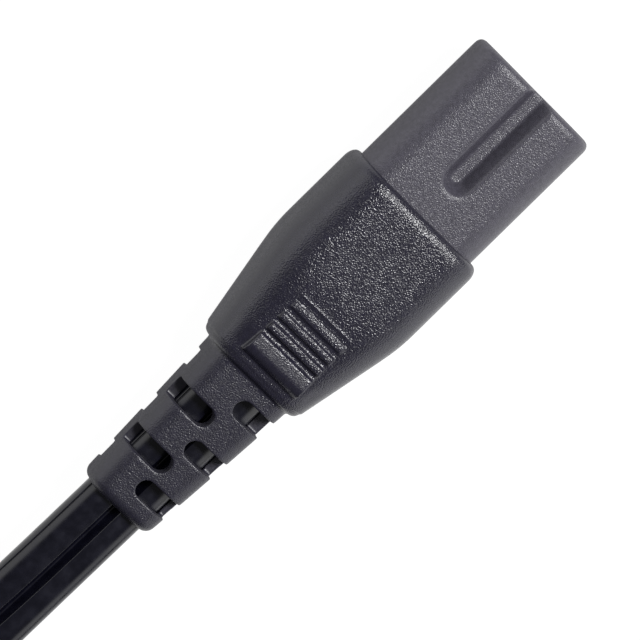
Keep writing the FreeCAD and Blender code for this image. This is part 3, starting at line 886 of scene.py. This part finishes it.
def berth_at(berths, turn_index, part, share):
    """Radius and height of a turn at a share of one of its parts, on its way to the next berth."""
    radius, z = berths[turn_index]
    if turn_index == len(MOVES):
        return radius, z
    move, start, end = MOVES[turn_index]
    after = PART_ORDER.index(part) - PART_ORDER.index(move)
    moved = after or (share - start) / (end - start)
    moved = min(max(moved, 0.0), 1.0)
    next_radius, next_z = berths[turn_index + 1]
    return between(radius, next_radius, moved), between(z, next_z, moved)


def hank_points(sizes):
    """Control points of the six turns, on edge: out along one side, round, back, and round again."""
    inner, middle, outer = (sizes.inner_radius + column * sizes.column_pitch for column in range(3))
    berths = [(radius, sizes.low_z) for radius in (outer, middle, inner)]
    berths += [(radius, sizes.high_z) for radius in (inner, middle, outer)]
    centre_y = -outer
    centres = {"far": (sizes.far_centre, 90), "near": (sizes.near_centre, 270)}
    points = [(sizes.near_centre, centre_y + outer, sizes.low_z)]
    for turn_index in range(len(berths)):
        last = turn_index == len(MOVES)
        for part in PART_ORDER[:2] if last else PART_ORDER:
            for share in TURN_PARTS[part]:
                if last and share > LAST_SHARE:
                    continue
                radius, z = berth_at(berths, turn_index, part, share)
                if part == "back":
                    points.append(((sizes.near_centre + sizes.far_centre) / 2, centre_y - radius, z))
                    continue
                centre_x, start = centres[part]
                vertex = radius / math.cos(math.pi / 2 / BEND_STEPS) if 0.0 < share < 1.0 else radius
                angle = math.radians(start + 180 * share)
                points.append((centre_x + vertex * math.cos(angle), centre_y + vertex * math.sin(angle), z))
    return points


def curve_object(name, kind, points, dimensions="3D"):
    """Curve object with one spline of control points."""
    curve = bpy.data.curves.new(name, "CURVE")
    curve.dimensions = dimensions
    spline = curve.splines.new(kind)
    spline.points.add(len(points) - 1)
    for control, place in zip(spline.points, points):
        control.co = (*place, 1.0)
    return link(name, curve)


def nurbs_line(name, points, resolution):
    """Smooth line that follows its control points."""
    line = curve_object(name, "NURBS", points)
    spline = line.data.splines[0]
    spline.order_u = 3
    spline.use_endpoint_u = True
    spline.resolution_u = resolution
    return line


class CONNECTOR_OT_cord(bpy.types.Operator):
    """Lay the flat twin cord from inside the body through its hank to the plug"""
    bl_idname = "connector.cord"
    bl_label = "Cord"

    def execute(self, context):
        sizes = context.scene.cord_sizes
        turns = hank_points(sizes)
        inside = [(sizes.start_x, 0.0, AXIS_Z), ((sizes.start_x + RELIEF_END_X) / 2, 0.0, AXIS_Z)]
        tilts = [0, 0] + LEAD_TILTS + [90] * len(turns) + TAIL_TILTS
        line = nurbs_line("cord_line", inside + LEAD_POINTS + turns + TAIL_POINTS, resolution=4)
        line.data.twist_mode = "Z_UP"
        for control, tilt in zip(line.data.splines[0].points, tilts):
            control.tilt = math.radians(tilt)
        path_mesh = mesh_of(line)

        corners = [(x, y, 0.0) for x, y in cord_outline(sizes)]
        outline = curve_object("cord_section", "POLY", corners, "2D")
        outline.data.splines[0].use_cyclic_u = True
        line.data.bevel_mode = "OBJECT"
        line.data.bevel_object = outline
        line.data.use_fill_caps = True
        cord = link("power_cord", mesh_of(line))
        smooth_shading(cord.data)
        bpy.data.objects.remove(line)
        bpy.data.objects.remove(outline)
        bpy.data.meshes.remove(path_mesh)
        dress(cord, glossy_sheath("cord_vinyl", context.scene.finishes.cord_colour), "cord_sheath",
              "cord_lead", "cord_hank", "cord_tail")
        return {"FINISHED"}


# Split cores and contacts inside the connector
def core_tube(mesh, sizes, spacing, side, play=0.0):
    """One insulated core about the axis, from its crimp in an S to the twin cord."""
    wide = side * spacing / 2
    close = side * (sizes.width - sizes.thickness) / 2
    bend = sizes.core_bend
    back = sizes.start_x
    stretch = (bend - back) / 4
    line = nurbs_line("core", [
        (sizes.core_front, wide, 0.0), (bend, wide, 0.0), (bend - stretch, wide, 0.0),
        (back + stretch, close, 0.0), (back, close, 0.0),
    ], resolution=8)
    line.data.bevel_depth = sizes.core_radius + play
    line.data.bevel_resolution = 6
    line.data.use_fill_caps = True
    data = mesh_of(line)
    mesh.from_mesh(data)
    bmesh.ops.remove_doubles(mesh, verts=mesh.verts[:], dist=1e-7)
    bmesh.ops.recalc_face_normals(mesh, faces=mesh.faces[:])
    bpy.data.objects.remove(line)
    bpy.data.meshes.remove(data)


class CONNECTOR_OT_contacts(bpy.types.Operator):
    """Finish the contacts and strands, and lay the two cores that are split behind them"""
    bl_idname = "connector.contacts"
    bl_label = "Contacts and cores"

    def execute(self, context):
        finishes = context.scene.finishes
        spacing = context.scene.nose_sizes.pin_spacing
        mesh = bmesh.new()
        for side in SIDES.values():
            core_tube(mesh, context.scene.cord_sizes, spacing, side)
        bmesh.ops.translate(mesh, verts=mesh.verts[:], vec=(0, 0, AXIS_Z))
        cores = to_object(mesh, "cord_cores")
        smooth_shading(cores.data)
        dress(cores, glossy_sheath("core_vinyl", finishes.cord_colour), "cord_sheath", "cord_end")
        tinned = plated("tinned_brass", finishes.tin_colour, rough=0.25)
        copper = plated("bare_copper", finishes.copper_colour, rough=0.3)
        for name in SIDES:
            paint(bpy.data.objects["socket_contact_" + name].data, tinned)
            paint(bpy.data.objects["conductor_" + name].data, copper)
        return {"FINISHED"}


# Strap round the hank
# Cloth and its edge rounds as shares of the strap's thickness, and the start as a share of half the top
CLOTH_SHARE = 0.9
CLOTH_EDGE = 0.3
STRAP_START = 0.5
STRAP_BEND_STEPS = 8
STRAP_STEPS_ACROSS = 6


def strap_line(low, high, corner):
    """Points once round the bundle in its YZ section, from its top to its top."""
    middle = (low + high) / 2
    half_y = (high.y - low.y) / 2 - corner
    half_z = (high.z - low.z) / 2 - corner
    points = [(middle.y + half_y * STRAP_START, high.z)]
    for quarter, (side_y, side_z) in enumerate(((-1, 1), (-1, -1), (1, -1), (1, 1))):
        for step in range(STRAP_BEND_STEPS + 1):
            angle = math.radians(90 + 90 * quarter + 90 * step / STRAP_BEND_STEPS)
            y = middle.y + side_y * half_y + corner * math.cos(angle)
            points.append((y, middle.z + side_z * half_z + corner * math.sin(angle)))
    return points


def strap_sheet(mesh, sizes):
    """Middle of the cloth: once round, then a free end that climbs onto the start and lies on it."""
    half = sizes.thickness / 2
    inset = Vector((0, half, half))
    points = strap_line(TIE_LOW + inset, TIE_HIGH - inset, sizes.corner)
    start_y, top_z = points[-1]
    for share in (0.25, 0.5, 0.75, 1.0):
        lift = sizes.thickness * math.sin(math.pi / 2 * min(share * 2, 1.0))
        points.append((start_y - sizes.overlap * share, top_z + lift))
    verts = [mesh.verts.new((TIE_LOW.x, y, z)) for y, z in points]
    edges = [mesh.edges.new(pair) for pair in zip(verts, verts[1:])]
    step = ((TIE_HIGH.x - TIE_LOW.x) / STRAP_STEPS_ACROSS, 0, 0)
    for _ in range(STRAP_STEPS_ACROSS):
        made = bmesh.ops.extrude_edge_only(mesh, edges=edges)
        edges = picked(made, bmesh.types.BMEdge)
        bmesh.ops.translate(mesh, verts=picked(made, bmesh.types.BMVert), vec=step)


class CONNECTOR_OT_strap(bpy.types.Operator):
    """Wind the woven strap round the hank, its free end laid over itself"""
    bl_idname = "connector.strap"
    bl_label = "Strap"

    def execute(self, context):
        sizes = context.scene.strap_sizes
        strap = work_form("hank_strap", strap_sheet, sizes)
        solid = strap.modifiers.new("cloth", "SOLIDIFY")
        solid.thickness = sizes.thickness * CLOTH_SHARE * WORK_SCALE
        solid.offset = 0.0
        soft_edges(strap, sizes.thickness * CLOTH_EDGE)
        settle(strap)
        cloth = woven("strap_cloth", context.scene.finishes.strap_colour, sizes.thread)
        dress(strap, cloth, "tie_strap", "hank_tie")
        return {"FINISHED"}


# Plug
# Room round the blades and the plate in the moulding
PLUG_PLAY = 0.00002
SHARP_ANGLE = 40


def plug_place():
    """Where the plug lies: at the cord's last point, along its last run."""
    before, last = map(Vector, TAIL_POINTS[-2:])
    run = last - before
    return Matrix.Translation(last) @ Matrix.Rotation(math.atan2(run.y, run.x), 4, "Z")


def face_x(sizes):
    return sizes.relief_length + sizes.body_length


def blade_form(mesh, sizes, side, play=0.0):
    """Flat blade with a chamfered tip."""
    start = face_x(sizes) - sizes.blade_root
    end = face_x(sizes) + sizes.blade_length
    size_y = sizes.blade_thickness + 2 * play
    size_z = sizes.blade_width + 2 * play
    place = Matrix.Translation(((start + end) / 2, side * sizes.blade_spacing / 2, 0))
    place = place @ Matrix.Diagonal((end - start, size_y, size_z, 1))
    made = bmesh.ops.create_cube(mesh, size=1.0, matrix=place)
    tip = [vert for vert in made["verts"] if vert.co.x > face_x(sizes)]
    edges = {edge for vert in tip for edge in vert.link_edges if edge.other_vert(vert) in tip}
    bmesh.ops.bevel(
        mesh, geom=list(edges), offset=sizes.blade_chamfer, offset_type="OFFSET", segments=1, profile=0.5,
        affect="EDGES", material=-1)


def blade_pair(mesh, sizes, play):
    for side in SIDES.values():
        blade_form(mesh, sizes, side, play)


def blade_hole(mesh, sizes):
    """Round bar across both blades."""
    hole_x = face_x(sizes) + sizes.blade_hole_from_face
    place = Matrix.Translation((hole_x, 0, 0)) @ Matrix.Rotation(math.pi / 2, 4, "X")
    round_bar(mesh, place, sizes.blade_hole_radius, sizes.blade_spacing * 2)


def plug_rows(sizes):
    """Sections of the plug's body from its face to its rear."""
    front = edge_rows((face_x(sizes), *sizes.front), sizes.edge_round, -1)
    rear = edge_rows((sizes.relief_length, *sizes.rear), sizes.edge_round, 1)
    return front + rear[::-1]


def plug_relief_rows(sizes):
    """Sections of the plug's strain relief from inside the body to its end."""
    root = (sizes.relief_length + RELIEF_ROOT, *sizes.relief_root)
    return [root] + edge_rows((0.0, *sizes.relief_end), sizes.relief_end_round, 1)[::-1]


def bridge_rows(sizes, play=0.0, over=0.0):
    """Sections of the hard plate in the plug's face."""
    width, height, corner = sizes.bridge
    plate = (width + 2 * play, height + 2 * play, corner)
    return [(face_x(sizes) - sizes.bridge_length, *plate), (face_x(sizes) + over, *plate)]


class CONNECTOR_OT_plug(bpy.types.Operator):
    """Build the two blade plug at the cord's far end"""
    bl_idname = "connector.plug"
    bl_label = "Plug"

    def execute(self, context):
        sizes = context.scene.plug_sizes
        finishes = context.scene.finishes
        nickel = plated("plated_brass", finishes.nickel_colour, rough=0.22)
        place = plug_place()
        for name, side in SIDES.items():
            blade = work_form("blade_" + name, blade_form, sizes, side)
            combine(blade, "DIFFERENCE", "hole", blade_hole, sizes)
            soft_edges(blade, radius=0.00012)
            settle(blade, SHARP_ANGLE, place)
            dress(blade, nickel, "blade_metal", "plug_blade_" + name)

        bridge = work_form("plug_face", loft, bridge_rows(sizes))
        combine(bridge, "DIFFERENCE", "blade_slots", blade_pair, sizes, PLUG_PLAY)
        soft_edges(bridge, radius=0.0002)
        settle(bridge, SHARP_ANGLE, place)
        hard = grained(
            "bridge_plastic", finishes.bridge_colour, grain=0.0002, depth=0.00003, rough=(0.4, 0.55))
        dress(bridge, hard, "bridge_moulding", "plug_bridge")

        body = work_form("plug_moulding", loft, plug_rows(sizes))
        combine(body, "UNION", "relief", loft, plug_relief_rows(sizes))
        combine(body, "DIFFERENCE", "bridge_pocket", loft, bridge_rows(sizes, PLUG_PLAY, sizes.edge_round))
        for side in SIDES.values():
            combine(body, "DIFFERENCE", "blade_pocket", blade_form, sizes, side, PLUG_PLAY)
        blend_surface(body, sizes.voxel, smooth_steps=4, keep=0.6)
        settle(body, place=place)
        vinyl = grained("plug_vinyl", finishes.plug_colour, **SOFT_VINYL)
        dress(body, vinyl, "plug_moulding", "plug_overmould")
        return {"FINISHED"}


# Stage
KEY_PLACE = (0.30, -0.08, 0.51)
KEY_SIZE = 0.18
PAPER_LEVEL = 0.6
# What the camera sees of the floor: a glow close to white, and a faint paper that takes the shadow
PAPER_GLOW = 0.98
SHADOW_LEVEL = 0.07


def view_axes(stage):
    """Directions of the picture's right, up and towards the camera, and of the way across the axis."""
    towards = Vector((stage.view_x, stage.view_y, 0.0))
    towards.z = math.sqrt(1 - towards.length_squared)
    along = (Vector((1, 0, 0)) - towards * towards.x).normalized()
    across = towards.cross(along)
    cosine = math.cos(stage.picture_turn)
    sine = math.sin(stage.picture_turn)
    right = along * cosine - across * sine
    up = along * sine + across * cosine
    return right, up, towards, across


def place_camera(stage):
    right, up, towards, across = view_axes(stage)
    target = Vector((stage.centre_x, 0.0, AXIS_Z)) - across * stage.centre_across
    data = bpy.data.cameras.new("camera")
    data.sensor_width = 36.0
    data.lens = stage.pixels_per_metre * stage.distance / stage.picture_width * data.sensor_width
    data.clip_start = 0.01
    camera = link("camera", data)
    place = Matrix((right, up, towards)).transposed().to_4x4()
    place.translation = target + towards * stage.distance
    camera.matrix_world = place
    bpy.context.scene.camera = camera


def place_key(stage):
    """Small square softbox that shines on the connector."""
    data = bpy.data.lights.new("key_softbox", "AREA")
    data.shape = "SQUARE"
    data.size = KEY_SIZE
    data.energy = stage.key_power
    lamp = link("key_softbox", data)
    lamp.location = KEY_PLACE
    lamp.rotation_euler = (-Vector(KEY_PLACE)).to_track_quat("-Z", "Y").to_euler()


def white_for(tree, value, *rays):
    """A value that is at least 1 for the named kinds of ray."""
    path = add_node(tree, "LightPath")
    for ray in rays:
        value = calculate(tree, "MAXIMUM", value, path["Is " + ray + " Ray"])
    return value


def make_floor(stage):
    """Paper that is white to look at, also in reflections, and lights the object from below as pale grey."""
    mesh = bmesh.new()
    bmesh.ops.create_grid(mesh, x_segments=1, y_segments=1, size=stage.floor_size / 2)
    floor = to_object(mesh, "floor")
    material, tree = new_material("floor_paper")
    tree.nodes.remove(tree.nodes["Principled BSDF"])
    paper, shadow = [
        add_node(tree, "BsdfDiffuse", {"Color": (level, level, level, 1)})["BSDF"]
        for level in (PAPER_LEVEL, SHADOW_LEVEL)
    ]
    glow = add_node(tree, "Emission", {"Strength": PAPER_GLOW})["Emission"]
    white = add_node(tree, "AddShader", {0: glow, 1: shadow})["Shader"]
    seen = white_for(tree, 0.0, "Camera", "Glossy", "Transmission")
    mix = add_node(tree, "MixShader", {"Fac": seen, 1: paper, 2: white})["Shader"]
    put(tree, tree.nodes["Material Output"].inputs["Surface"], mix)
    floor.data.materials.append(material)


def make_world(stage):
    """White walls on both sides of a dim room, which keeps the tops and ends dark and the sides light."""
    world = bpy.data.worlds.new("studio")
    world.use_nodes = True
    tree = world.node_tree
    aside = calculate(tree, "ABSOLUTE", coordinate(tree, "Generated", "Y"))
    levels = (stage.wall_start, stage.wall_full, stage.room_level, stage.wall_level)
    level = ramp(tree, aside, *levels, kind="SMOOTHSTEP")
    put(tree, tree.nodes["Background"].inputs["Color"], white_for(tree, level, "Camera", "Transmission"))
    bpy.context.scene.world = world


class CONNECTOR_OT_stage(bpy.types.Operator):
    """Set the floor, the light and the camera"""
    bl_idname = "connector.stage"
    bl_label = "Stage"

    def execute(self, context):
        stage = context.scene.stage_settings
        make_floor(stage)
        make_world(stage)
        place_key(stage)
        place_camera(stage)
        context.scene.view_settings.view_transform = "Standard"
        return {"FINISHED"}


class CONNECTOR_PT_panel(bpy.types.Panel):
    """Buttons for each piece"""
    bl_idname = "CONNECTOR_PT_panel"
    bl_label = "Figure eight connector"
    bl_space_type = "VIEW_3D"
    bl_region_type = "UI"
    bl_category = "Connector"

    def draw(self, context):
        for operator in OPERATORS:
            self.layout.operator(operator.bl_idname)


OPERATORS = (
    CONNECTOR_OT_nose, CONNECTOR_OT_grip, CONNECTOR_OT_contacts, CONNECTOR_OT_strap, CONNECTOR_OT_plug,
    CONNECTOR_OT_cord, CONNECTOR_OT_stage,
)
GROUPS = {
    "nose_sizes": NoseSizes, "grip_sizes": GripSizes, "cord_sizes": CordSizes, "strap_sizes": StrapSizes,
    "plug_sizes": PlugSizes, "finishes": Finishes, "stage_settings": StageSettings,
}


def register():
    for group in GROUPS.values():
        bpy.utils.register_class(group)
    for name, group in GROUPS.items():
        setattr(bpy.types.Scene, name, bpy.props.PointerProperty(type=group))
    for operator in OPERATORS:
        bpy.utils.register_class(operator)
    bpy.utils.register_class(CONNECTOR_PT_panel)


def unregister():
    bpy.utils.unregister_class(CONNECTOR_PT_panel)
    for operator in reversed(OPERATORS):
        bpy.utils.unregister_class(operator)
    for name in GROUPS:
        delattr(bpy.types.Scene, name)
    for group in reversed(list(GROUPS.values())):
        bpy.utils.unregister_class(group)


def main():
    register()
    bpy.ops.connector.nose()
    bpy.ops.connector.grip()
    bpy.ops.connector.contacts()
    bpy.ops.connector.strap()
    bpy.ops.connector.plug()
    bpy.ops.connector.cord()
    bpy.ops.connector.stage()


if __name__ == "__main__":
    main()
